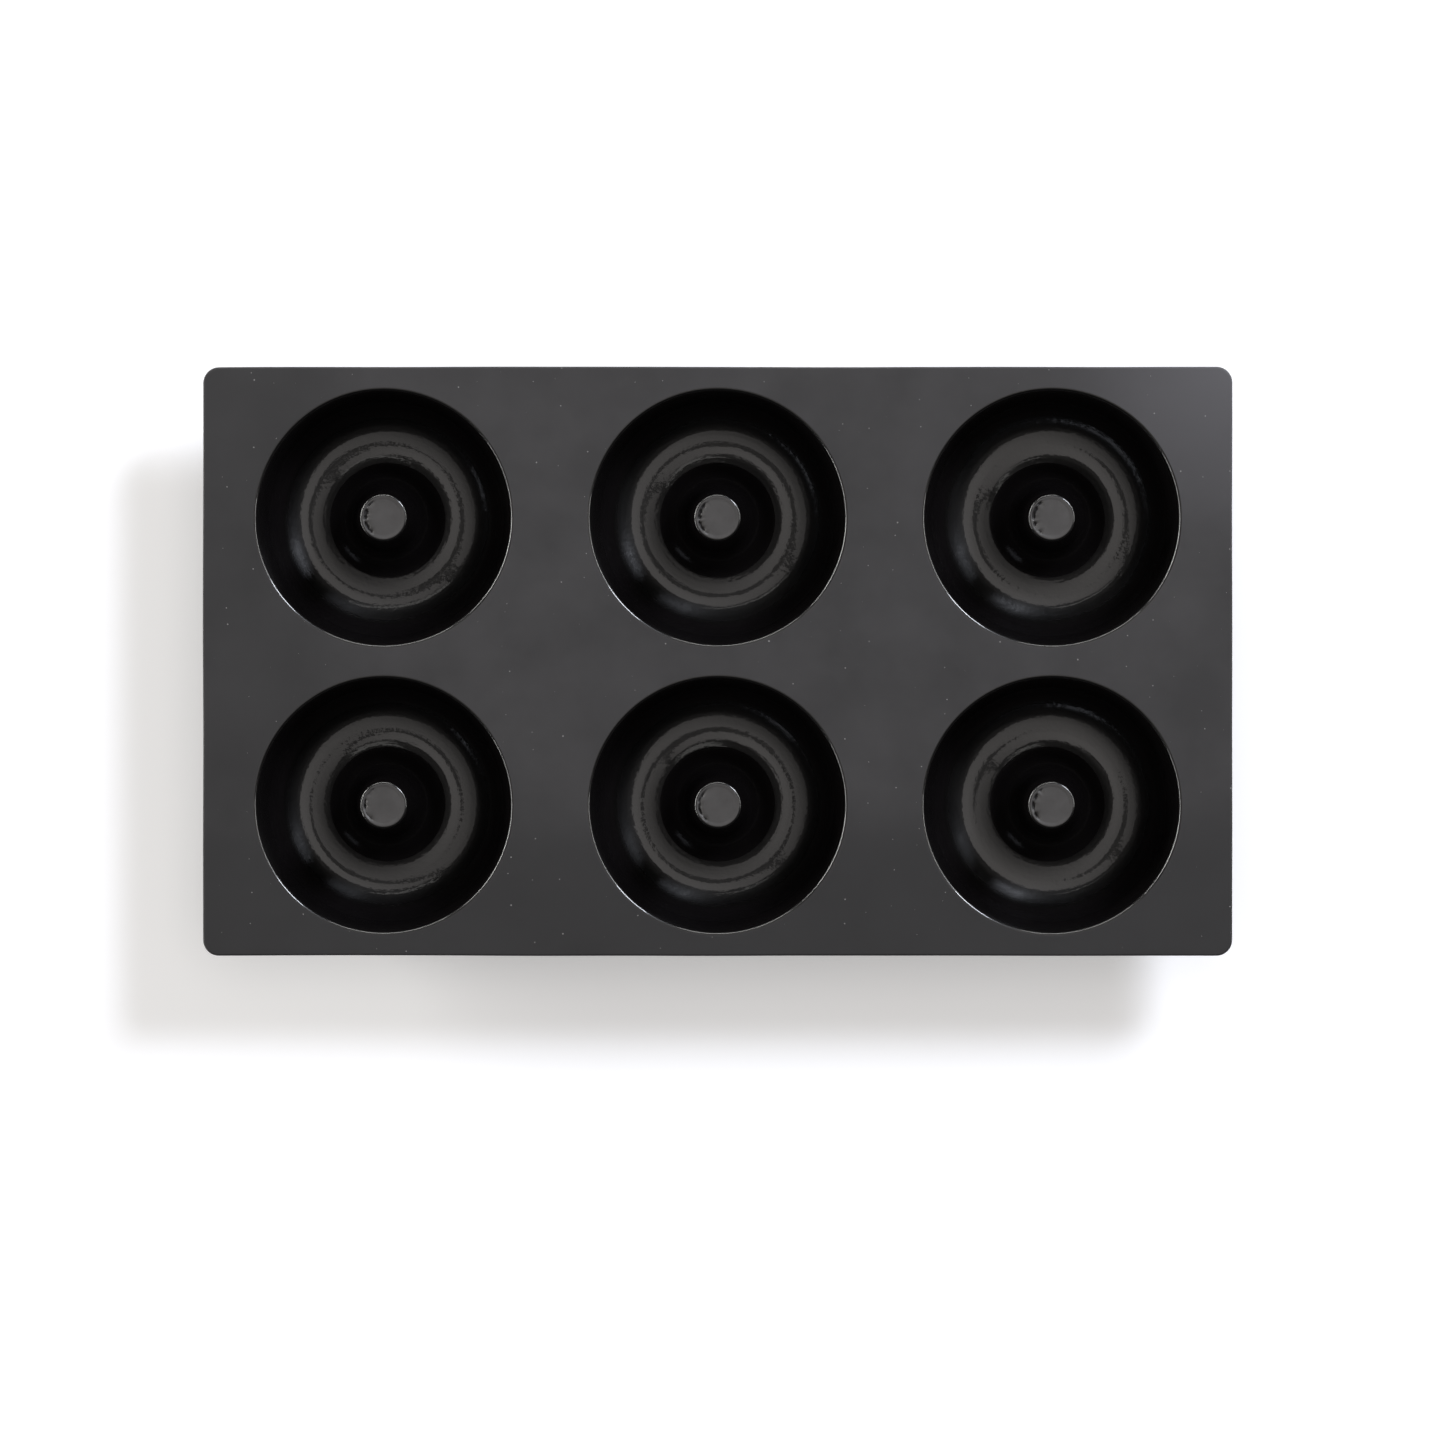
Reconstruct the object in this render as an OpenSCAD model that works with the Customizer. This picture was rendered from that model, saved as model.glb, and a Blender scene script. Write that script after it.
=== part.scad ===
// Silicone doughnut mould, moulded in one piece. A flat sheet carries a grid of ring cavities
// that hang below it. Each cavity has drafted walls, a round bottom and a hollow post in its middle.
// Lengths are in millimetres. It stands on z = 0 with its middle over the origin, long side along X.

/* [Grid] */
// Number of cavities along X
columns = 3; // [1:1:5]
// Number of cavities along Y
rows = 2; // [1:1:4]
// Land between neighbouring cavities along X
land_x = 23; // [8:0.5:40]
// Land between neighbouring cavities along Y
land_y = 9.4; // [8:0.2:40]
// Margin from the last cavity to the sheet's short sides
margin_x = 15.4; // [5:0.2:40]
// Margin from the last cavity to the sheet's long sides
margin_y = 6.7; // [5:0.1:40]

/* [Sheet] */
// Thickness of the sheet, which also closes the top of each post
sheet_t = 2.4; // [1.6:0.1:4]
// Radius of the sheet's four corners, seen from above
corner_r = 4.6; // [2:0.1:12]
// Rounding of the sheet's outer edge, above and below
edge_r = 0.5; // [0.2:0.1:0.7]

/* [Cavities] */
// Diameter of a cavity at the sheet's top face
cavity_d = 74.4; // [66:0.2:90]
// Depth of a cavity, from the sheet's top face to the lowest point of its bottom
cavity_h = 28; // [18:0.5:34]
// Draft of the walls from the vertical, in degrees
draft = 8; // [3:0.5:12]
// Thickness of the walls and of the round bottom
wall = 2; // [1.2:0.1:3]
// Rounding of a cavity's rim
rim_r = 0.4; // [0.2:0.05:0.8]
// Rounding in the corner between the sheet's underside and a wall
root_r = 1; // [0.4:0.1:1.6]
// How much of the round bottom's outside is cut flat, as a ring to stand on
foot_cut = 0.2; // [0.1:0.05:0.6]

/* [Posts] */
// Diameter of a post at the sheet's top face
post_d = 13.5; // [13:0.1:20]
// Rounding of a post's top edge
post_r = 0.5; // [0.2:0.05:0.8]
// Diameter of the shallow dish in a post's top
dish_d = 11.8; // [5:0.2:12]
// Depth of the dish
dish_h = 0.3; // [0.1:0.05:0.8]
// Slope of the dish's side from the horizontal, in degrees
dish_slope = 25; // [20:5:70]

/* [Hidden] */
$fn = 128;
// Steps along the bottom's arc, and along the arc of a rounded edge
bottom_steps = 18;
edge_steps = 4;
// How far a cut runs past the face that it opens
over = 1;
silicone = [0.2, 0.195, 0.2];

pitch_x = cavity_d + land_x;
pitch_y = cavity_d + land_y;
sheet_l = (columns - 1) * pitch_x + cavity_d + 2 * margin_x;
sheet_w = (rows - 1) * pitch_y + cavity_d + 2 * margin_y;

// Radius of the ring's middle circle, and half the ring's width at the sheet's top face
ring_r = (cavity_d + post_d) / 4;
ring_half = (cavity_d - post_d) / 4;
// Radius of the round bottom that runs smoothly into both walls at this depth
bottom_r = (ring_half - cavity_h * tan(draft)) / (1 / cos(draft) - tan(draft));

pan_h = cavity_h + wall - foot_cut;
bottom_z = pan_h - cavity_h + bottom_r;
under_z = pan_h - sheet_t;

// Half the ring's width at height z on the walls, with both walls moved apart by grow
function half_width(z, grow = 0) =
    (bottom_r + grow) / cos(draft) + (z - bottom_z) * tan(draft);

// Points on the arc of radius r round [x, z], from angle a to angle b
function arc(x, z, r, a, b, steps) =
    [for (i = [0 : steps]) let (t = a + (b - a) * i / steps) [x + r * cos(t), z + r * sin(t)]];

// How far the middle of a rounding of radius r lies from the edge that it rounds, along X.
// The edge is between a level face and a drafted wall.
function setback(r) = r * (1 - sin(draft)) / cos(draft);

// Section of the hollow that holds the dough: post edge, wall, bottom, wall and rim
module cavity_section() {
    post_x = post_d / 2 - setback(post_r);
    rim_x = cavity_d / 2 + setback(rim_r);
    polygon(concat(
        [[post_x, pan_h + over]],
        arc(post_x, pan_h - post_r, post_r, 90, draft, edge_steps),
        arc(ring_r, bottom_z, bottom_r, 180 + draft, 360 - draft, bottom_steps),
        arc(rim_x, pan_h - rim_r, rim_r, 180 - draft, 90, edge_steps),
        [[rim_x, pan_h + over]]
    ));
}

// Section of the outside of the walls and bottom, filled, with roots in the sheet and a flat foot
module shell_section() {
    outer_r = bottom_r + wall;
    foot_a = acos(bottom_z / outer_r);
    root_x = half_width(under_z, wall) + setback(root_r);
    mid_z = under_z + sheet_t / 2;
    polygon(concat(
        [[ring_r - root_x, mid_z]],
        arc(ring_r - root_x, under_z - root_r, root_r, 90, draft, edge_steps),
        arc(ring_r, bottom_z, outer_r, 180 + draft, 270 - foot_a, bottom_steps / 2),
        arc(ring_r, bottom_z, outer_r, 270 + foot_a, 360 - draft, bottom_steps / 2),
        arc(ring_r + root_x, under_z - root_r, root_r, 180 - draft, 90, edge_steps),
        [[ring_r + root_x, mid_z]]
    ));
}

// Section of the sheet, of a given width, with rounded outer edges
module slab_section(width) {
    square([width - 2 * edge_r, sheet_t], center = true);
    square([width, sheet_t - 2 * edge_r], center = true);
    for (x = [-1, 1], y = [-1, 1])
        translate([x * (width / 2 - edge_r), y * (sheet_t / 2 - edge_r)])
            circle(r = edge_r);
}

// The flat sheet: two crossed slabs, and a quarter turn of their edge in each corner
module sheet() {
    straight_l = sheet_l - 2 * corner_r;
    straight_w = sheet_w - 2 * corner_r;
    translate([0, 0, pan_h - sheet_t / 2]) {
        rotate([90, 0, 90])
            linear_extrude(straight_l, center = true)
                slab_section(sheet_w);
        rotate([90, 0, 0])
            linear_extrude(straight_w, center = true)
                slab_section(sheet_l);
        for (mx = [0, 1], my = [0, 1])
            mirror([mx, 0, 0])
                mirror([0, my, 0])
                    translate([straight_l / 2, straight_w / 2])
                        rotate_extrude(angle = 90)
                            intersection() {
                                slab_section(2 * corner_r);
                                translate([0, -sheet_t])
                                    square([2 * corner_r, 2 * sheet_t]);
                            }
    }
}

// The shallow dish in a post's top, cut from above
module dish() {
    floor_d = dish_d - 2 * dish_h / tan(dish_slope);
    translate([0, 0, pan_h - dish_h])
        cylinder(h = dish_h + over, d1 = floor_d, d2 = dish_d + 2 * over / tan(dish_slope));
}

// Puts its children at the middle of each cavity
module at_cavities() {
    for (i = [0 : columns - 1], j = [0 : rows - 1])
        translate([(i - (columns - 1) / 2) * pitch_x, (j - (rows - 1) / 2) * pitch_y, 0])
            children();
}

// The whole mould, one solid of one material
module pan() {
    color(silicone)
        difference() {
            union() {
                sheet();
                at_cavities()
                    rotate_extrude()
                        shell_section();
            }
            at_cavities() {
                rotate_extrude()
                    cavity_section();
                dish();
            }
        }
}

pan();
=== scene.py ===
"""Looks of the doughnut mould: one moulded silicone sheet with six ring cavities, seen from above."""

import math

import bmesh
import bpy
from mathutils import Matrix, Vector, noise
from mathutils.geometry import delaunay_2d_cdt


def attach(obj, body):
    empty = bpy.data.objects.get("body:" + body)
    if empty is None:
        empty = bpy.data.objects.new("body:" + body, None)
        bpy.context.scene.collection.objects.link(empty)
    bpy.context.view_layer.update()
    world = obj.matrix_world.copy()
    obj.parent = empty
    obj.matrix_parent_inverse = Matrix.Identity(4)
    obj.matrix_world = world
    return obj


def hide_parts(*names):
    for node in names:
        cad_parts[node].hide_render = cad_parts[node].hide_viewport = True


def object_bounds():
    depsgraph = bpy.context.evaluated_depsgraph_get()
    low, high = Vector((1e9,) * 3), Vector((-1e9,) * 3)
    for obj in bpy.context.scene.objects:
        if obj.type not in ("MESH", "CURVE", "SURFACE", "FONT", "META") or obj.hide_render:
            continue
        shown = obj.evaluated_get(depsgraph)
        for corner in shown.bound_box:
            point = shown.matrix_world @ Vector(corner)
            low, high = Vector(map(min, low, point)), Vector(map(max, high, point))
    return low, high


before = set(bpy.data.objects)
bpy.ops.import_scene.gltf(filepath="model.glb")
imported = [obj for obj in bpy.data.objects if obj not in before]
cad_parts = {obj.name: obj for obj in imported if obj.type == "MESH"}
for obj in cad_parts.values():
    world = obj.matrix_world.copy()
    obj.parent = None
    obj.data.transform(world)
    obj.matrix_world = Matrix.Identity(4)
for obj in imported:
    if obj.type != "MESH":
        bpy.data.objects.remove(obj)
cad_low, cad_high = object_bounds()

MM = 0.001

# Shape, as in the CAD model, in mm
PAN_L = (cad_high.x - cad_low.x) / MM
PAN_W = (cad_high.y - cad_low.y) / MM
PAN_H = cad_high.z / MM
COLUMNS = 3
ROWS = 2
LAND_X = 23.0
LAND_Y = 9.4
SHEET_T = 2.4
CORNER_R = 4.6
EDGE_R = 0.5
CAVITY_D = 74.4
CAVITY_H = 28.0
DRAFT = 8.0
WALL = 2.0
ROOT_R = 1.0
POST_D = 13.5

# Shape that departs a little from the CAD model, in mm: softer roundings, a shallower dish in each post's
# top, with the width of its slope, and ring bottoms that lie a little further out
RIM_R = 0.85
POST_R = 0.65
DISH_D = 12.2
DISH_H = 0.14
DISH_RUN = 1.0
BOTTOM_SHIFT = 0.28
# A strip of each ring's bottom, on the post's side, is nearly a cone: its two tilts in degrees, and its width
CONE = (16.0, 18.3)
CONE_RUN = 1.25

# Measures that follow from the sizes above
TAN_DRAFT = math.tan(math.radians(DRAFT))
COS_DRAFT = math.cos(math.radians(DRAFT))
SIN_DRAFT = math.sin(math.radians(DRAFT))
RING_R = (CAVITY_D + POST_D) / 4
RING_HALF = (CAVITY_D - POST_D) / 4
BOTTOM_R = (RING_HALF - CAVITY_H * TAN_DRAFT) / (1 / COS_DRAFT - TAN_DRAFT)
BOTTOM_Z = PAN_H - CAVITY_H + BOTTOM_R
UNDER_Z = PAN_H - SHEET_T
PITCH_X = CAVITY_D + LAND_X
PITCH_Y = CAVITY_D + LAND_Y
SPOTS = [
    ((column - (COLUMNS - 1) / 2) * PITCH_X, (row - (ROWS - 1) / 2) * PITCH_Y)
    for column in range(COLUMNS)
    for row in range(ROWS)
]

# Mesh detail
TOP_SEGMENTS = 128
UNDER_SEGMENTS = 72
BOTTOM_STEPS = 40
UNDER_BOTTOM_STEPS = 13
DISH_STEPS = 5
DISH_SLOPE_STEPS = 10
LIP_STEPS = 2
WALL_STEPS = 5
UNDER_WALL_STEPS = 3
FOOT_STEPS = 2
FILLET_STEPS = 5
CORNER_STEPS = 10
# How many steps of a ring's bottom belong to the walls' finish, on the post's side and on the rim's side
INNER_FLANK_STEPS = 15
FLANK_STEPS = 10
# The sheet's level faces have a grid of this step, which keeps clear of their edges, and a narrow strip of
# this width along each rounding, in mm
GRID_STEP = 3.0
GRID_GAP = 0.7 * GRID_STEP
SUPPORT = 0.35
# Points nearer than this become one, in metres
MERGE_DISTANCE = 2e-6
# Settings of the triangulation: it keeps what lies inside the outline, and merges points this near, in mm
INSIDE_ONLY = 1
NEAR_POINTS = 1e-6

# Zones of the piece, each with its own finish: the index of its material slot
SHEET, EDGE, GLOSS, WALL_SIDE, POST_TOP, UNDER = range(6)


def arc(x, z, radius, start, end, steps):
    """Points on the arc of a radius round (x, z), between two angles in degrees."""
    angles = [math.radians(start + (end - start) * i / steps) for i in range(steps + 1)]
    return [(x + radius * math.cos(a), z + radius * math.sin(a)) for a in angles]


def line(start, end, steps):
    """Points on the straight line between two points of a profile."""
    return [
        (start[0] + (end[0] - start[0]) * i / steps, start[1] + (end[1] - start[1]) * i / steps)
        for i in range(steps + 1)
    ]


def setback(radius):
    """How far the middle of a rounding lies from the edge between a level face and a drafted wall."""
    return radius * (1 - SIN_DRAFT) / COS_DRAFT


def half_width(z, grow):
    """Half the ring's width at height z, with both walls moved apart by grow."""
    return (BOTTOM_R + grow) / COS_DRAFT + (z - BOTTOM_Z) * TAN_DRAFT


def joined(*runs):
    """One profile from several runs of points, without the points that repeat."""
    points = []
    for run in runs:
        for point in run:
            if not points or math.dist(points[-1], point) > MERGE_DISTANCE / MM:
                points.append(point)
    return points


def post_top_profile():
    """The shallow dish in a post's top, from its middle to the top of its slope."""
    floor_z = PAN_H - DISH_H
    return line((0, floor_z), (DISH_D / 2 - DISH_RUN, floor_z), DISH_STEPS)


def dish_slope_profile():
    """The slope of the dish, a soft S from its floor to the flat lip."""
    points = []
    for i in range(DISH_SLOPE_STEPS + 1):
        t = i / DISH_SLOPE_STEPS
        rise = t * t * (3 - 2 * t)
        points.append((DISH_D / 2 - DISH_RUN * (1 - t), PAN_H - DISH_H * (1 - rise)))
    return points


def lip_profile():
    """The level lip round the dish in a post's top."""
    return line((DISH_D / 2, PAN_H), (POST_D / 2 - setback(POST_R), PAN_H), LIP_STEPS)


def bottom_profile():
    """The ring's rounded bottom. On the post's side it runs nearly straight between the two tilts of CONE."""
    run_start, run_end = (math.radians(tilt) for tilt in CONE)
    end = math.radians(90 - DRAFT)
    straight = BOTTOM_R * math.sin(run_start) + CONE_RUN
    tight_r = (BOTTOM_R * math.sin(end) - straight) / (math.sin(end) - math.sin(run_end))
    steps = BOTTOM_STEPS // 2
    tilts = sorted([end * i / steps for i in range(steps + 1)] + [run_start, run_end])
    inner = [(0.0, 0.0)]
    for tilt, next_tilt in zip(tilts, tilts[1:]):
        radius = BOTTOM_R if next_tilt <= run_start else tight_r
        reach = radius * (math.sin(next_tilt) - math.sin(tilt))
        if run_start <= tilt and next_tilt <= run_end:
            reach = CONE_RUN * (next_tilt - tilt) / (run_end - run_start)
        x, z = inner[-1]
        inner.append((x - reach, z + reach * math.tan((tilt + next_tilt) / 2)))
    outer = arc(0, BOTTOM_R, BOTTOM_R, 270, 360 - DRAFT, steps)
    low_x = RING_R
    low_z = BOTTOM_Z - BOTTOM_R
    points = [(low_x + x, low_z + z) for x, z in inner[::-1] + outer[1:]]
    return [(x + BOTTOM_SHIFT * (BOTTOM_Z - z) / BOTTOM_R, z) for x, z in points]


def cavity_profiles():
    """The cavity's inside, from the post's edge to the rim: each run of points, with its zone."""
    post_x = POST_D / 2 - setback(POST_R)
    rim_x = CAVITY_D / 2 + setback(RIM_R)
    post_edge = arc(post_x, PAN_H - POST_R, POST_R, 90, DRAFT, FILLET_STEPS)
    bottom = bottom_profile()
    rim = arc(rim_x, PAN_H - RIM_R, RIM_R, 180 - DRAFT, 90, FILLET_STEPS)
    return [
        (post_edge, EDGE),
        (line(post_edge[-1], bottom[0], WALL_STEPS), WALL_SIDE),
        (bottom[: INNER_FLANK_STEPS + 1], WALL_SIDE),
        (bottom[INNER_FLANK_STEPS:-FLANK_STEPS], GLOSS),
        (bottom[-FLANK_STEPS - 1 :], WALL_SIDE),
        (line(bottom[-1], rim[0], WALL_STEPS), WALL_SIDE),
        (rim, EDGE),
    ]


def rim_circle():
    """Radius of the circle on the sheet's top face where a rim's rounding ends."""
    return CAVITY_D / 2 + setback(RIM_R)


def under_profile():
    """The outside under a cavity, from the middle of the hollow post to the root in the sheet."""
    outer_r = BOTTOM_R + WALL
    foot_a = math.degrees(math.acos(BOTTOM_Z / outer_r))
    root_x = half_width(UNDER_Z, WALL) + setback(ROOT_R)
    inner_root = arc(RING_R - root_x, UNDER_Z - ROOT_R, ROOT_R, 90, DRAFT, FILLET_STEPS)
    inner_arc = arc(RING_R, BOTTOM_Z, outer_r, 180 + DRAFT, 270 - foot_a, UNDER_BOTTOM_STEPS)
    outer_arc = arc(RING_R, BOTTOM_Z, outer_r, 270 + foot_a, 360 - DRAFT, UNDER_BOTTOM_STEPS)
    outer_root = arc(RING_R + root_x, UNDER_Z - ROOT_R, ROOT_R, 180 - DRAFT, 90, FILLET_STEPS)
    return joined(
        line((0, UNDER_Z), inner_root[0], UNDER_WALL_STEPS),
        inner_root,
        line(inner_root[-1], inner_arc[0], UNDER_WALL_STEPS),
        inner_arc,
        line(inner_arc[-1], outer_arc[0], FOOT_STEPS),
        outer_arc,
        line(outer_arc[-1], outer_root[0], UNDER_WALL_STEPS),
        outer_root,
    )


def circle(radius, segments, middle=(0, 0)):
    """Points of a circle, with its first point on the +X side."""
    turn = 2 * math.pi / segments
    return [
        (middle[0] + radius * math.cos(i * turn), middle[1] + radius * math.sin(i * turn))
        for i in range(segments)
    ]


def outline(inset):
    """Points of the sheet's outline, moved in by inset, the same number for any inset."""
    x = PAN_L / 2 - CORNER_R
    y = PAN_W / 2 - CORNER_R
    middles = [(x, y), (-x, y), (-x, -y), (x, -y)]
    corners = [
        arc(*middle, CORNER_R - inset, 90 * i, 90 * (i + 1), CORNER_STEPS)
        for i, middle in enumerate(middles)
    ]
    points = []
    for corner, next_corner in zip(corners, corners[1:] + corners[:1]):
        points += corner
        steps = round(math.dist(corner[-1], next_corner[0]) / GRID_STEP)
        points += line(corner[-1], next_corner[0], steps)[1:-1]
    return points


class Shell:
    """Collects the vertices and faces of the piece, in mm."""

    def __init__(self):
        self.vertices = []
        self.faces = []
        self.zones = []

    def add_face(self, corners, zone):
        self.faces.append(corners)
        self.zones.append(zone)

    def turn(self, profile, segments, middle, zone):
        """Turns a profile of (radius, height) points once round the upright axis through middle."""
        rings = []
        for radius, z in profile:
            first = len(self.vertices)
            if radius == 0:
                self.vertices.append((*middle, z))
                rings.append([first] * segments)
            else:
                self.vertices += [(x, y, z) for x, y in circle(radius, segments, middle)]
                rings.append(list(range(first, first + segments)))
        self.bridge(rings, zone)

    def bridge(self, rings, zone):
        """Joins closed loops of vertices, one to the next, with faces."""
        for inner, outer in zip(rings, rings[1:]):
            count = len(inner)
            for i in range(count):
                j = (i + 1) % count
                corners = [inner[i], outer[i], outer[j], inner[j]]
                self.add_face(list(dict.fromkeys(corners)), zone)

    def edge_strip(self, section, zone):
        """Runs a section of (inset, height) points round the sheet's outline."""
        rings = []
        for inset, z in section:
            points = outline(inset)
            first = len(self.vertices)
            self.vertices += [(x, y, z) for x, y in points]
            rings.append(list(range(first, first + len(points))))
        self.bridge(rings, zone)

    def land(self, z, inset, hole_r, segments, zone):
        """The level face of the sheet at height z, between its outline and a hole for each cavity."""
        points = []
        edges = []
        loops = [outline(inset)] + [circle(hole_r, segments, middle) for middle in SPOTS]
        for loop in loops:
            first = len(points)
            points += loop
            edges += [(first + i, first + (i + 1) % len(loop)) for i in range(len(loop))]
        points += self.grid_points(inset, hole_r)
        flat = [Vector(point) for point in points]
        placed, _, triangles, *_ = delaunay_2d_cdt(flat, edges, [], INSIDE_ONLY, NEAR_POINTS)
        first = len(self.vertices)
        self.vertices += [(point.x, point.y, z) for point in placed]
        for triangle in triangles:
            middle = sum((placed[i] for i in triangle), Vector((0, 0))) / 3
            if all(math.dist(middle, spot) > hole_r for spot in SPOTS):
                self.add_face([first + i for i in triangle], zone)

    def grid_points(self, inset, hole_r):
        """Points of a square grid on the sheet, clear of its outline and of the holes."""
        half_l = PAN_L / 2 - inset - GRID_GAP
        half_w = PAN_W / 2 - inset - GRID_GAP
        columns = int(2 * half_l / GRID_STEP)
        rows = int(2 * half_w / GRID_STEP)
        points = []
        for i in range(columns + 1):
            for j in range(rows + 1):
                point = (-half_l + 2 * half_l * i / columns, -half_w + 2 * half_w * j / rows)
                if all(math.dist(point, spot) > hole_r + GRID_GAP for spot in SPOTS):
                    points.append(point)
        return points


# How soft silicone departs from the drawing: slow waves of its surface, and a slight dome, whose slope is
# given at the outer cavities' middles. The outermost feet stay on the floor. The seed fixes the waves, which
# would otherwise change from run to run.
WAVE_SEED = 139
WAVE_LENGTH = 38.0
WAVE_HEIGHT = 0.16
DOME_SLOPE_X = 0.40
DOME_SLOPE_Y = 0.50


def dome(x, y):
    """Height of the dome at a place on the pan, over the feet that are furthest from the middle."""
    spot_x, spot_y = SPOTS[-1]
    curve_x = math.tan(math.radians(DOME_SLOPE_X)) / (2 * spot_x)
    curve_y = math.tan(math.radians(DOME_SLOPE_Y)) / (2 * spot_y)
    foot_x = spot_x + RING_R
    foot_y = spot_y + RING_R
    return curve_x * (foot_x**2 - x**2) + curve_y * (foot_y**2 - y**2)


def relaxed(vertex):
    """A vertex of the drawing, moved by the dome and the slow waves of a soft moulding."""
    point = Vector(vertex)
    share = point.z / PAN_H
    shift = noise.noise_vector(point / WAVE_LENGTH) * WAVE_HEIGHT
    shift.z *= share
    shift.z += dome(point.x, point.y) * (1 - share / 2)
    return (point + shift) * MM


# A crease just inside the edge of each post's top, on its left side, sunk into the mesh and darkened in its
# colour
# with painted shade: its radius, half its width, its reach to either side in degrees, its share of depth in
# the near row, the size of its lumps and its depth.
# The lumps make it shallower and deeper, round a usual share of the depth.
CREASE_R = 5.4
CREASE_HALF = 0.5
CREASE_REACH = 60.0
CREASE_NEAR_ROW = 0.55
CREASE_LUMP = 1.3
CREASE_DEPTH = 0.7
CREASE_USUAL = 1.5
CREASE_SWING = 3.0


def crease(point):
    """How deep in the crease of a post's top a place lies, from 0 to 1."""
    x, y = min(SPOTS, key=lambda spot: math.dist(point.xy, spot))
    radius = math.dist(point.xy, (x, y))
    if radius > POST_D / 2 or point.z < UNDER_Z + CREASE_DEPTH:
        return 0.0
    turned = abs(math.degrees(math.atan2(point.y - y, x - point.x)))
    across = 1 - abs(radius - CREASE_R) / CREASE_HALF
    along_edge = 1 - turned / CREASE_REACH
    lump = CREASE_USUAL + CREASE_SWING * noise.noise(point / CREASE_LUMP)
    depth = max(across, 0) * math.sqrt(max(along_edge, 0)) * lump
    if y < 0:
        depth *= CREASE_NEAR_ROW
    return min(max(depth, 0), 1)


def sink_creases(mesh):
    """Sinks the creases into the skin, and stores how deep each vertex lies in them, for the painted shade in
    the post tops' colour.
    """
    depths = [crease(vertex.co / MM) for vertex in mesh.vertices]
    mesh.attributes.new("crease", "FLOAT", "POINT").data.foreach_set("value", depths)
    for vertex, depth in zip(mesh.vertices, depths):
        vertex.co.z -= depth * CREASE_DEPTH * MM


def pan_shell():
    """The faces of the whole mould, in runs that meet at their edges."""
    shell = Shell()
    under_circle = under_profile()[-1][0]
    for spot in SPOTS:
        shell.turn(post_top_profile(), TOP_SEGMENTS, spot, POST_TOP)
        shell.turn(dish_slope_profile(), TOP_SEGMENTS, spot, POST_TOP)
        shell.turn(lip_profile(), TOP_SEGMENTS, spot, POST_TOP)
        for profile, zone in cavity_profiles():
            shell.turn(profile, TOP_SEGMENTS, spot, zone)
        shell.turn([(rim_circle(), PAN_H), (rim_circle() + SUPPORT, PAN_H)], TOP_SEGMENTS, spot, SHEET)
        shell.turn(under_profile(), UNDER_SEGMENTS, spot, UNDER)
        support = [(under_circle, UNDER_Z), (under_circle + SUPPORT, UNDER_Z)]
        shell.turn(support, UNDER_SEGMENTS, spot, UNDER)
    shell.land(PAN_H, EDGE_R + SUPPORT, rim_circle() + SUPPORT, TOP_SEGMENTS, SHEET)
    shell.land(UNDER_Z, EDGE_R + SUPPORT, under_circle + SUPPORT, UNDER_SEGMENTS, UNDER)
    upper = arc(EDGE_R, PAN_H - EDGE_R, EDGE_R, 90, 180, FILLET_STEPS)
    lower = arc(EDGE_R, UNDER_Z + EDGE_R, EDGE_R, 180, 270, FILLET_STEPS)
    shell.edge_strip(joined([(EDGE_R + SUPPORT, PAN_H)], upper, lower[:1]), SHEET)
    shell.edge_strip(joined(lower, [(EDGE_R + SUPPORT, UNDER_Z)]), UNDER)
    return shell


def make_pan():
    """The mould as one closed skin."""
    shell = pan_shell()
    noise.seed_set(WAVE_SEED)
    mesh = bpy.data.meshes.new("silicone_pan")
    mesh.from_pydata([relaxed(vertex) for vertex in shell.vertices], [], shell.faces)
    mesh.polygons.foreach_set("material_index", shell.zones)
    mesh.polygons.foreach_set("use_smooth", [True] * len(shell.faces))
    close_skin(mesh)
    sink_creases(mesh)
    return add_object("silicone_pan", mesh)


def close_skin(mesh):
    """Joins the runs of the mesh into one closed skin, with its faces turned outwards."""
    work = bmesh.new()
    work.from_mesh(mesh)
    bmesh.ops.remove_doubles(work, verts=work.verts, dist=MERGE_DISTANCE)
    bmesh.ops.recalc_face_normals(work, faces=work.faces)
    open_edges = sum(not edge.is_manifold for edge in work.edges)
    if open_edges:
        raise RuntimeError(f"the pan's skin has {open_edges} open edges")
    work.to_mesh(mesh)
    work.free()


def add_object(name, data):
    """Puts an object with the given mesh, light or camera into the scene."""
    made = bpy.data.objects.new(name, data)
    bpy.context.scene.collection.objects.link(made)
    return made


SILICONE_IOR = 1.41
COAT_ROUGHNESS = 0.035
# Painted shade: the near-black tone laid into the colour of each post's crease
CREASE_SHADE_TONE = (0.006, 0.0055, 0.0055, 1)
# Patches of a finish, where its tone and roughness drift: a soft noise between these two values
PATCH_RANGE = (0.3, 0.7)
PATCH_NOISE = {"Detail": 4, "Roughness": 0.62}
# Specks of dust on the sheet: the distance between them in mm, the largest radius as a share of it, how rare
# the large ones are, and how far the surface has to face up to hold them
DUST_TONE = (0.20, 0.195, 0.19, 1)
DUST_SPACING = 7.5
DUST_SIZE = 0.030
DUST_RARITY = 3
DUST_LEVEL = 0.9
# Painted light in the sheet's colour: a pale painted sheen in its far right corner, and painted shade that
# darkens a margin at its left and along its near side, each between two places on the pan, in mm
SHEEN_TONE = (0.092, 0.090, 0.097, 1)
SHEEN_REACH = 54.0
SHEEN_SHARE = 0.76
MARGIN_SHADE_TONE = (0.0088, 0.0083, 0.0087, 1)
MARGIN_LEFT = (-98.0, -128.0)
MARGIN_LEFT_SHARE = 0.546
MARGIN_NEAR = (-34.0, -58.0)
MARGIN_NEAR_SHARE = 0.78


def add_node(tree, kind, inputs=None, **settings):
    """Adds a node with the given input values and settings."""
    made = tree.nodes.new(kind)
    for name, value in settings.items():
        setattr(made, name, value)
    for name, value in (inputs or {}).items():
        made.inputs[name].default_value = value
    return made


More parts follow.
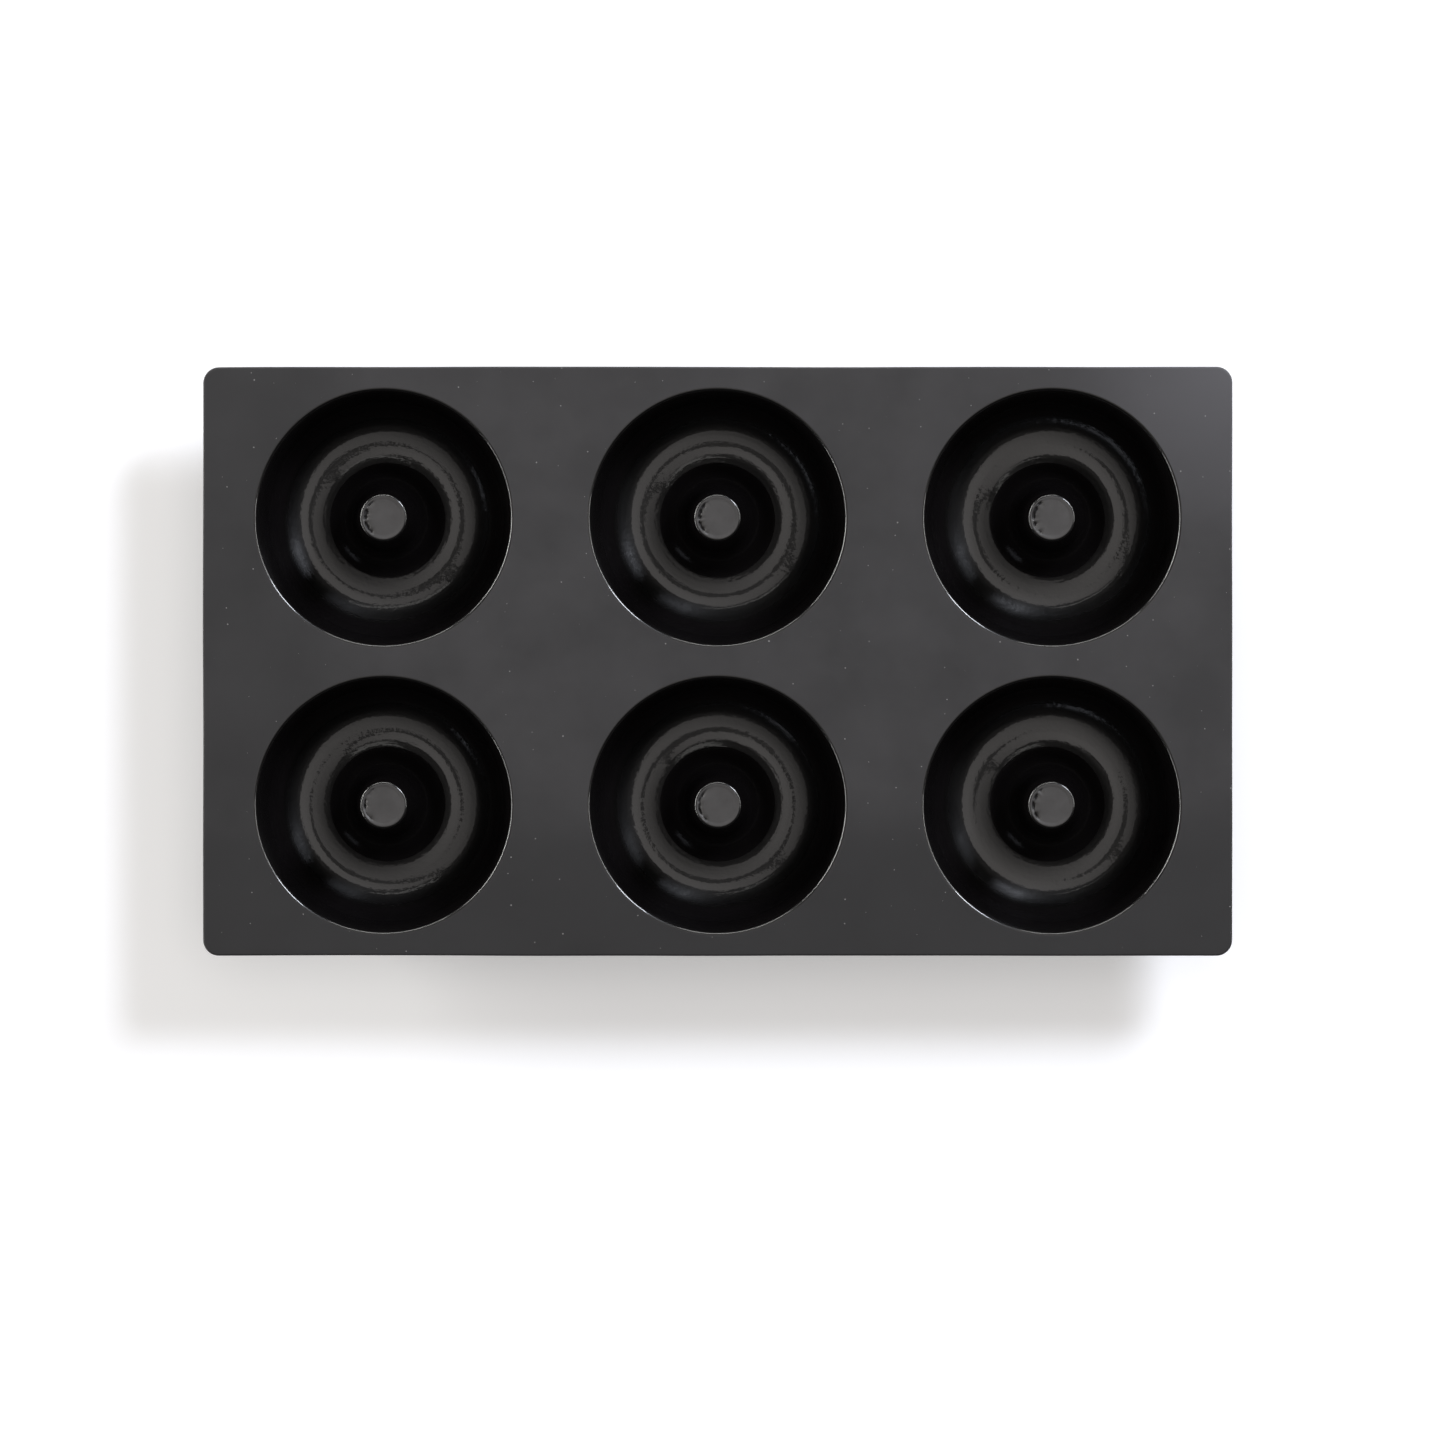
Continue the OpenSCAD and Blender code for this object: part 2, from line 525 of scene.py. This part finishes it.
def math_node(tree, operation, *values):
    """Output of a Math node. Its values are numbers or outputs of other nodes."""
    made = add_node(tree, "ShaderNodeMath", operation=operation)
    for socket, value in zip(made.inputs, values):
        if isinstance(value, (int, float)):
            socket.default_value = value
        else:
            tree.links.new(value, socket)
    return made.outputs["Value"]


def spread(tree, value, start, end, low=0.0, high=1.0, shape="SMOOTHSTEP"):
    """Runs from low to high while value goes from start to end."""
    limits = {"From Min": start, "From Max": end, "To Min": low, "To Max": high}
    made = add_node(tree, "ShaderNodeMapRange", limits, interpolation_type=shape)
    tree.links.new(value, made.inputs["Value"])
    return made.outputs["Result"]


def blend(tree, share, below, above):
    """A colour that goes from below to above as share goes from 0 to 1. Colours are values or outputs."""
    made = add_node(tree, "ShaderNodeMix", data_type="RGBA")
    tree.links.new(share, made.inputs["Factor"])
    for socket, colour in ((made.inputs["A"], below), (made.inputs["B"], above)):
        if isinstance(colour, tuple):
            socket.default_value = colour
        else:
            tree.links.new(colour, socket)
    return made.outputs["Result"]


def noise_value(tree, place, size, **inputs):
    """Value of a soft noise whose lumps are about size mm across."""
    made = add_node(tree, "ShaderNodeTexNoise", {"Scale": 1 / (size * MM), **inputs})
    tree.links.new(place, made.inputs["Vector"])
    return made.outputs["Fac"]


def new_material(name):
    """An empty material with a Principled shader. Gives the material, its node tree and the shader."""
    material = bpy.data.materials.new(name)
    material.use_nodes = True
    tree = material.node_tree
    return material, tree, tree.nodes["Principled BSDF"]


def upwardness(tree):
    """How far the surface faces up: 1 where it is level, 0 where it is upright."""
    axes = add_node(tree, "ShaderNodeSeparateXYZ")
    tree.links.new(add_node(tree, "ShaderNodeTexCoord").outputs["Normal"], axes.inputs["Vector"])
    return axes.outputs["Z"]


def with_dust(tree, place, colour):
    """A colour with sparse pale specks of dust on it, where the surface is level."""
    scale = {"Scale": 1 / (DUST_SPACING * MM)}
    cells = add_node(tree, "ShaderNodeTexVoronoi", scale, voronoi_dimensions="2D")
    tree.links.new(place, cells.inputs["Vector"])
    size = add_node(tree, "ShaderNodeSeparateColor")
    tree.links.new(cells.outputs["Color"], size.inputs["Color"])
    share = math_node(tree, "POWER", size.outputs["Red"], DUST_RARITY)
    radius = math_node(tree, "MULTIPLY", share, DUST_SIZE)
    speck = math_node(tree, "LESS_THAN", cells.outputs["Distance"], radius)
    level = math_node(tree, "GREATER_THAN", upwardness(tree), DUST_LEVEL)
    return blend(tree, math_node(tree, "MULTIPLY", speck, level), colour, DUST_TONE)


def with_painted_sheen(tree, place, colour):
    """A colour with a faint pale painted sheen, from the sheet's far right corner inwards."""
    away = vector_math(tree, "DISTANCE", place, {1: cad_high}).outputs["Value"]
    share = spread(tree, away, SHEEN_REACH * MM, 0, 0, SHEEN_SHARE, "LINEAR")
    return blend(tree, share, colour, SHEEN_TONE)


def with_painted_shade_margin(tree, place, colour):
    """A colour that darkens with painted shade towards the sheet's left and near sides."""
    axes = add_node(tree, "ShaderNodeSeparateXYZ")
    tree.links.new(place, axes.inputs["Vector"])
    left = spread(tree, axes.outputs["X"], *(x * MM for x in MARGIN_LEFT), 0, MARGIN_LEFT_SHARE)
    near = spread(tree, axes.outputs["Y"], *(y * MM for y in MARGIN_NEAR), 0, MARGIN_NEAR_SHARE)
    return blend(tree, math_node(tree, "MAXIMUM", left, near), colour, MARGIN_SHADE_TONE)


def with_painted_crease_shade(tree, place, colour):
    """A colour darkened to near black with painted shade where the mesh says that a crease is."""
    depth = add_node(tree, "ShaderNodeAttribute", attribute_name="crease")
    return blend(tree, depth.outputs["Fac"], colour, CREASE_SHADE_TONE)


def bumped(tree, place, size, depth, normal=None):
    """A surface normal with soft lumps of a size and depth, on top of another one."""
    made = add_node(tree, "ShaderNodeBump", {"Strength": 1, "Distance": depth * MM})
    tree.links.new(noise_value(tree, place, size), made.inputs["Height"])
    if normal:
        tree.links.new(normal, made.inputs["Normal"])
    return made.outputs["Normal"]


# Where a finish has a steep roughness, its surface goes that smooth as it tilts from the first of these
# angles to the second
STEEP = (24, 50)
# How far the turned marks' pattern reaches round a cavity, in mm: the less, the longer the marks
TURNED_ROUND = 1.5
# The edges and the ring bottoms are of the same tones
DEEP_TONES = ((0.0020, 0.0018, 0.0018), (0.0026, 0.0024, 0.0024))
# Finishes, one for each zone. Sizes and depths are in mm. Tones and roughnesses are pairs, between which the
# surface drifts from patch to patch. Grain, ripples and turned marks, which run round the cavities, are each
# a size and a depth. Layers go over the tone.
FINISHES = {
    SHEET: {
        "name": "silicone_sheet",
        "tones": ((0.0181, 0.0170, 0.0176), (0.0298, 0.0281, 0.0288)),
        "roughness": (0.56, 0.66),
        "patch": 26.0,
        "grain": (0.45, 0.010),
        "ripple": (12.0, 0.05),
        # Painted shade at the left and near margins, a painted sheen in the far right corner, then real dust
        "layers": (with_painted_shade_margin, with_painted_sheen, with_dust),
    },
    EDGE: {
        "name": "silicone_edge",
        "tones": DEEP_TONES,
        "roughness": (0.30, 0.35),
        "patch": 14.0,
        "grain": (0.6, 0.004),
        "ripple": (9.0, 0.02),
        "specular": 0.40,
        "coat": 1.0,
    },
    GLOSS: {
        "name": "silicone_gloss",
        "tones": DEEP_TONES,
        "roughness": (0.30, 0.35),
        "steep_roughness": 0.14,
        "patch": 14.0,
        "grain": (1.2, 0.035),
        "ripple": (7.0, 0.05),
        "turned": (2.4, 0.07),
        "specular": 0.40,
        "coat": 1.0,
    },
    WALL_SIDE: {
        "name": "silicone_wall",
        "tones": ((0.0034, 0.0029, 0.0031), (0.0042, 0.0036, 0.0038)),
        "roughness": (0.20, 0.26),
        "patch": 14.0,
        "grain": (1.2, 0.05),
        "ripple": (7.0, 0.05),
        "specular": 0.10,
        "coat": 0.4,
    },
    POST_TOP: {
        "name": "silicone_post_top",
        "tones": ((0.0420, 0.0399, 0.0383), (0.0556, 0.0528, 0.0508)),
        "roughness": (0.42, 0.50),
        "patch": 5.0,
        "grain": (0.4, 0.008),
        "ripple": (8.0, 0.03),
        # Painted shade in the creases
        "layers": (with_painted_crease_shade,),
    },
    UNDER: {
        "name": "silicone_under",
        "tones": ((0.020, 0.019, 0.0195), (0.026, 0.0245, 0.025)),
        "roughness": (0.34, 0.44),
        "patch": 11.0,
        "grain": (0.5, 0.006),
        "ripple": (9.0, 0.04),
    },
}


def smooth_where_steep(tree, roughness, steep_roughness):
    """A roughness that falls to steep_roughness where the surface is steep."""
    level, steep = (math.cos(math.radians(tilt)) for tilt in STEEP)
    share = spread(tree, upwardness(tree), steep, level)
    more = math_node(tree, "SUBTRACT", roughness, steep_roughness)
    return math_node(tree, "MULTIPLY_ADD", more, share, steep_roughness)


def vector_math(tree, operation, vector, inputs=None):
    """A Vector Math node that works on a vector."""
    made = add_node(tree, "ShaderNodeVectorMath", inputs, operation=operation)
    tree.links.new(vector, made.inputs[0])
    return made


def round_cavities(tree, place):
    """A place told by its direction from the nearest cavity's middle and its distance from there."""
    axes = add_node(tree, "ShaderNodeSeparateXYZ")
    tree.links.new(place, axes.inputs["Vector"])
    column = math_node(tree, "ROUND", math_node(tree, "DIVIDE", axes.outputs["X"], PITCH_X * MM))
    row = math_node(tree, "SIGN", axes.outputs["Y"])
    across = math_node(tree, "MULTIPLY_ADD", column, -PITCH_X * MM, axes.outputs["X"])
    upward = math_node(tree, "MULTIPLY_ADD", row, -PITCH_Y * MM / 2, axes.outputs["Y"])
    offset = add_node(tree, "ShaderNodeCombineXYZ")
    tree.links.new(across, offset.inputs["X"])
    tree.links.new(upward, offset.inputs["Y"])
    radius = vector_math(tree, "LENGTH", offset.outputs["Vector"]).outputs["Value"]
    side = vector_math(tree, "NORMALIZE", offset.outputs["Vector"]).outputs["Vector"]
    scaled = vector_math(tree, "SCALE", side, {"Scale": TURNED_ROUND * MM}).outputs["Vector"]
    # Each cavity reads another stretch of the pattern
    row_start = math_node(tree, "MULTIPLY", row, PITCH_Y * MM)
    start = math_node(tree, "MULTIPLY_ADD", column, PITCH_X * MM, row_start)
    outward = add_node(tree, "ShaderNodeCombineXYZ")
    tree.links.new(math_node(tree, "ADD", radius, start), outward.inputs["Z"])
    turned_place = vector_math(tree, "ADD", scaled)
    tree.links.new(outward.outputs["Vector"], turned_place.inputs[1])
    return turned_place.outputs["Vector"]


def set_gloss(shader, specular, coat):
    """Sets how strongly a Principled shader mirrors, in its base and in its coat."""
    shader.inputs["IOR"].default_value = SILICONE_IOR
    shader.inputs["Specular IOR Level"].default_value = specular
    shader.inputs["Coat Weight"].default_value = coat
    shader.inputs["Coat Roughness"].default_value = COAT_ROUGHNESS
    shader.inputs["Coat IOR"].default_value = SILICONE_IOR


def silicone(
    name,
    tones,
    roughness,
    patch,
    grain,
    ripple,
    turned=None,
    steep_roughness=None,
    specular=0.5,
    coat=0.0,
    layers=(),
):
    """Dyed silicone: tone and roughness drift from patch to patch, under slow ripples and a fine grain."""
    material, tree, shader = new_material(name)
    set_gloss(shader, specular, coat)
    place = add_node(tree, "ShaderNodeTexCoord").outputs["Object"]
    patches = noise_value(tree, place, patch, **PATCH_NOISE)
    dark, light = tones
    colour = blend(tree, spread(tree, patches, *PATCH_RANGE, shape="LINEAR"), (*dark, 1), (*light, 1))
    for layer in layers:
        colour = layer(tree, place, colour)
    tree.links.new(colour, shader.inputs["Base Color"])
    dullness = spread(tree, patches, *PATCH_RANGE, *roughness, shape="LINEAR")
    if steep_roughness:
        dullness = smooth_where_steep(tree, dullness, steep_roughness)
    tree.links.new(dullness, shader.inputs["Roughness"])
    normal = bumped(tree, place, *grain, bumped(tree, place, *ripple))
    if turned:
        normal = bumped(tree, round_cavities(tree, place), *turned, normal)
    tree.links.new(normal, shader.inputs["Normal"])
    if coat:
        tree.links.new(normal, shader.inputs["Coat Normal"])
    return material


def finish_pan(pan):
    """Gives each zone of the pan its finish."""
    for zone in sorted(FINISHES):
        pan.data.materials.append(silicone(**FINISHES[zone]))


# Floor, light and camera
FLOOR_SIDE = 6.0
FLOOR_ALBEDO = 0.80
FLOOR_ROUGHNESS = 0.9
FLOOR_SPECULAR = 0.1
FLOOR_CAMERA_LIFT = 0.31


def make_floor():
    """A plain white floor. Cameras see it a little brighter than it is lit, so that it ends up white."""
    half = FLOOR_SIDE / 2
    corners = [(-half, -half, 0), (half, -half, 0), (half, half, 0), (-half, half, 0)]
    mesh = bpy.data.meshes.new("floor")
    mesh.from_pydata(corners, [], [(0, 1, 2, 3)])
    floor = add_object("floor", mesh)
    material, tree, shader = new_material("floor_white")
    shader.inputs["Base Color"].default_value = (FLOOR_ALBEDO, FLOOR_ALBEDO, FLOOR_ALBEDO, 1)
    shader.inputs["Roughness"].default_value = FLOOR_ROUGHNESS
    shader.inputs["Specular IOR Level"].default_value = FLOOR_SPECULAR
    shader.inputs["Emission Color"].default_value = (1, 1, 1, 1)
    rays = add_node(tree, "ShaderNodeLightPath")
    lift = add_node(tree, "ShaderNodeMath", {1: FLOOR_CAMERA_LIFT}, operation="MULTIPLY")
    tree.links.new(rays.outputs["Is Camera Ray"], lift.inputs[0])
    tree.links.new(lift.outputs["Value"], shader.inputs["Emission Strength"])
    mesh.materials.append(material)


# Soft lamps that face the middle of the pan: directions in degrees, distances and sizes in metres. The last
# four are faint or low, and light nothing: only mirror rays meet them.
LAMPS = [
    {
        "name": "key",
        "azimuth": 45,
        "elevation": 37,
        "distance": 3.0,
        "size": (0.8, 0.8),
        "power": 88,
        "colour": (0.86, 0.90, 1.0),
    },
    {
        "name": "side",
        "azimuth": 160,
        "elevation": 16,
        "distance": 2.0,
        "size": (1.2, 0.30),
        "power": 20,
        "colour": (1.0, 0.99, 0.96),
    },
    {
        "name": "window",
        "azimuth": 110,
        "elevation": 55.5,
        "distance": 1.5,
        "size": (0.95, 0.10),
        "power": 0.42,
        "colour": (1.0, 0.99, 0.96),
        "mirrored_only": True,
    },
    {
        "name": "back",
        "azimuth": 98,
        "elevation": 20,
        "distance": 2.0,
        "size": (2.0, 0.30),
        "power": 35,
        "colour": (1.0, 0.99, 0.97),
        "mirrored_only": True,
    },
    {
        "name": "right",
        "azimuth": 20,
        "elevation": 20,
        "distance": 2.0,
        "size": (1.9, 0.30),
        "power": 30,
        "colour": (1.0, 0.99, 0.97),
        "mirrored_only": True,
    },
    {
        "name": "low",
        "azimuth": 172,
        "elevation": 16.5,
        "distance": 2.0,
        "size": (3.0, 0.24),
        "power": 54,
        "colour": (1.0, 0.99, 0.97),
        "mirrored_only": True,
    },
]


def direction(azimuth, elevation):
    """Unit vector to a place in the room, in degrees from +X towards +Y and up from the floor."""
    a = math.radians(azimuth)
    e = math.radians(elevation)
    return Vector((math.cos(a) * math.cos(e), math.sin(a) * math.cos(e), math.sin(e)))


def add_softbox(name, azimuth, elevation, distance, size, power, colour, mirrored_only=False):
    """A rectangular soft lamp that faces the middle of the pan. The camera doesn't see it."""
    data = bpy.data.lights.new(name, "AREA")
    data.shape = "RECTANGLE"
    data.size, data.size_y = size
    data.energy = power
    data.color = colour
    lamp = add_object(name, data)
    target = Vector((0, 0, cad_high.z))
    lamp.location = target + direction(azimuth, elevation) * distance
    lamp.rotation_euler = (target - lamp.location).to_track_quat("-Z", "Y").to_euler()
    lamp.visible_camera = False
    lamp.visible_diffuse = not mirrored_only


# The room has a level of its own, of which mirror rays meet only a share, and a soft round panel overhead:
# its direction, its full and its fading reach in degrees, and its level. The panel is brighter towards one
# side, by this slope.
ROOM_COLOUR = (1.045, 1.0, 0.975)
ROOM_LEVEL = 0.20
ROOM_MIRRORED = 0.25
PANEL = {"azimuth": 222, "tilt": 5.5, "full": 29.5, "gone": 32.5, "level": 0.90}
PANEL_SLOPE = 1.15
PANEL_BRIGHT_SIDE = 35


def along(tree, place, axis):
    """How far the direction that is looked in runs along an axis."""
    return vector_math(tree, "DOT_PRODUCT", place, {1: axis}).outputs["Value"]


def soft_patch(tree, place, azimuth, tilt, full, gone, level):
    """A round patch of the room: at its level up to the angle full, and nothing past the angle gone."""
    nearness = along(tree, place, direction(azimuth, 90 - tilt))
    return spread(tree, nearness, math.cos(math.radians(gone)), math.cos(math.radians(full)), 0, level)


def light_room():
    """The room's own soft light. Cameras see it as plain white."""
    world = bpy.data.worlds.new("studio")
    bpy.context.scene.world = world
    world.use_nodes = True
    tree = world.node_tree
    background = tree.nodes["Background"]
    place = add_node(tree, "ShaderNodeTexCoord").outputs["Generated"]
    towards_bright_side = along(tree, place, direction(PANEL_BRIGHT_SIDE, 0))
    shade = math_node(tree, "MULTIPLY_ADD", towards_bright_side, PANEL_SLOPE, 1.0)
    panel = math_node(tree, "MULTIPLY", soft_patch(tree, place, **PANEL), shade)
    rays = add_node(tree, "ShaderNodeLightPath")
    room = spread(tree, rays.outputs["Is Glossy Ray"], 0, 1, ROOM_LEVEL, ROOM_LEVEL * ROOM_MIRRORED)
    level = math_node(tree, "ADD", panel, room)
    seen = add_node(tree, "ShaderNodeMix", {"A": (*ROOM_COLOUR, 1), "B": (1, 1, 1, 1)}, data_type="RGBA")
    tree.links.new(rays.outputs["Is Camera Ray"], seen.inputs["Factor"])
    tree.links.new(seen.outputs["Result"], background.inputs["Color"])
    strength = math_node(tree, "MAXIMUM", level, rays.outputs["Is Camera Ray"])
    tree.links.new(strength, background.inputs["Strength"])


# The dark camera overhead and its arm, which only the glossy cavities mirror. The round front's place is told
# from the middle of the view, in mm.
RIG_X = -48.0
RIG_Y = 66.0
RIG_R = 190.0
RIG_SEGMENTS = 32
RIG_ARM_W = 120.0
RIG_ARM_L = 1500.0
RIG_ARM_AZIMUTH = 143
RIG_TONE = (0.01, 0.01, 0.01, 1)
RIG_ROUGHNESS = 0.8


def make_rig():
    """The camera's dark front and arm, over the pan. Only mirror rays meet them."""
    z = (PAN_H + VIEW_DISTANCE) * MM
    side = direction(RIG_ARM_AZIMUTH + 90, 0) * RIG_ARM_W / 2
    far = direction(RIG_ARM_AZIMUTH, 0) * RIG_ARM_L
    front = [Vector((x, y, 0)) for x, y in circle(RIG_R, RIG_SEGMENTS)]
    arm = [-side, side, far + side, far - side]
    points = front + arm
    middle = Vector((VIEW_X + RIG_X, VIEW_Y + RIG_Y, 0))
    faces = [list(range(len(front))), list(range(len(front), len(points)))]
    mesh = bpy.data.meshes.new("rig")
    mesh.from_pydata([(point + middle) * MM + Vector((0, 0, z)) for point in points], [], faces)
    rig = add_object("rig", mesh)
    material, _, shader = new_material("rig_black")
    shader.inputs["Base Color"].default_value = RIG_TONE
    shader.inputs["Roughness"].default_value = RIG_ROUGHNESS
    mesh.materials.append(material)
    rig.visible_camera = False
    rig.visible_diffuse = False
    rig.visible_shadow = False


# The view from straight above, in mm: the width that it takes in at the sheet's top face, its middle, and the
# camera's height over that face. The camera sees as far as the reach, in metres.
VIEW_WIDTH = 419.67
VIEW_X = 0.71
VIEW_Y = -17.1
VIEW_DISTANCE = 1950.0
VIEW_REACH = 20
SENSOR = 36.0


def add_camera():
    """The camera, looking straight down."""
    data = bpy.data.cameras.new("camera")
    data.sensor_width = SENSOR
    data.lens = SENSOR * VIEW_DISTANCE / VIEW_WIDTH
    data.clip_end = VIEW_REACH
    camera = add_object("camera", data)
    camera.location = (VIEW_X * MM, VIEW_Y * MM, (PAN_H + VIEW_DISTANCE) * MM)
    bpy.context.scene.camera = camera


add_camera()
pan = make_pan()
finish_pan(pan)
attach(pan, "root")
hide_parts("pan")
make_floor()
make_rig()
light_room()
for lamp in LAMPS:
    add_softbox(**lamp)
bpy.context.scene.view_settings.view_transform = "Standard"
